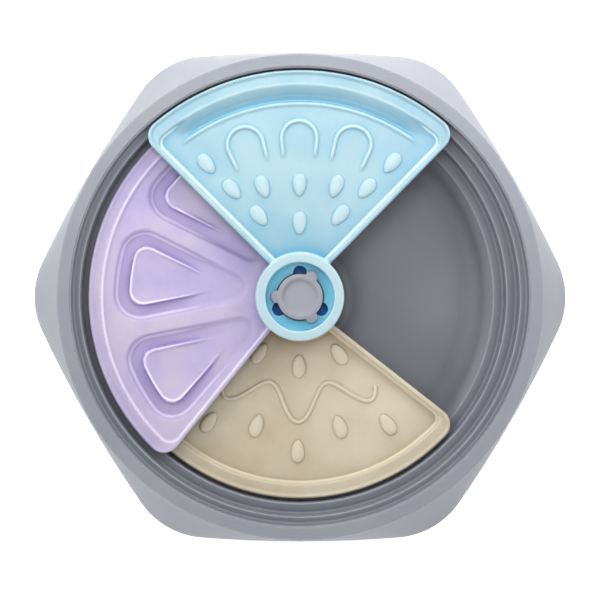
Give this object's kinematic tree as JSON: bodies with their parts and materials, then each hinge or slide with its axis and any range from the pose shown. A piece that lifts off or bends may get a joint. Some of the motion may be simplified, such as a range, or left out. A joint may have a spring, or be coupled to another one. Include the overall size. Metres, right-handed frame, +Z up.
{
  "type": "rotating puzzle pet feeder",
  "caption": "Round stepped pet bowl on a hexagonal flared base, with fruit-slice covers that turn about a centre post over the food and a twist-lock knob.",
  "frame": {"origin": "on the table surface, under the axis of the centre post", "axes": "+Z up along the centre post, +X towards a corner of the hexagonal base, +Y towards the middle of the side behind the blue cover"},
  "size_m": [0.3102, 0.2856, 0.054],
  "materials": {
    "grey_plastic": "fine satin moulding",
    "knob_plastic": "fine satin moulding",
    "blue_plastic": "satin moulding",
    "purple_plastic": "satin moulding",
    "beige_plastic": "satin moulding",
    "foot_rubber": "matte",
    "steel": "zinc plated"
  },
  "bodies": {
    "base": {"base_bowl": "grey_plastic", "centre_post": "grey_plastic", "post_screw_1": "steel", "post_screw_2": "steel", "post_screw_3": "steel", "foot_1": "foot_rubber", "foot_2": "foot_rubber", "foot_3": "foot_rubber", "foot_4": "foot_rubber", "foot_5": "foot_rubber", "foot_6": "foot_rubber"},
    "knob": {"lock_knob": "knob_plastic", "knob_screw": "steel", "knob_washer": "steel"},
    "cover_top": {"top_cover": "blue_plastic"},
    "cover_middle": {"middle_cover": "purple_plastic"},
    "cover_bottom": {"bottom_cover": "beige_plastic"}
  },
  "joints": [
    {"name": "top_cover_turn", "type": "hinge", "parent": "base", "child": "cover_top", "pos_m": [0, 0, 0.0465], "axis": [0, 0, 1], "continuous": true},
    {"name": "middle_cover_turn", "type": "hinge", "parent": "base", "child": "cover_middle", "pos_m": [0, 0, 0.0385], "axis": [0, 0, 1], "continuous": true},
    {"name": "bottom_cover_turn", "type": "hinge", "parent": "base", "child": "cover_bottom", "pos_m": [0, 0, 0.0305], "axis": [0, 0, 1], "continuous": true},
    {"name": "knob_lock", "type": "hinge", "parent": "base", "child": "knob", "pos_m": [0, 0, 0.048], "axis": [0, 0, 1], "range_deg": [0, 30]}
  ]
}
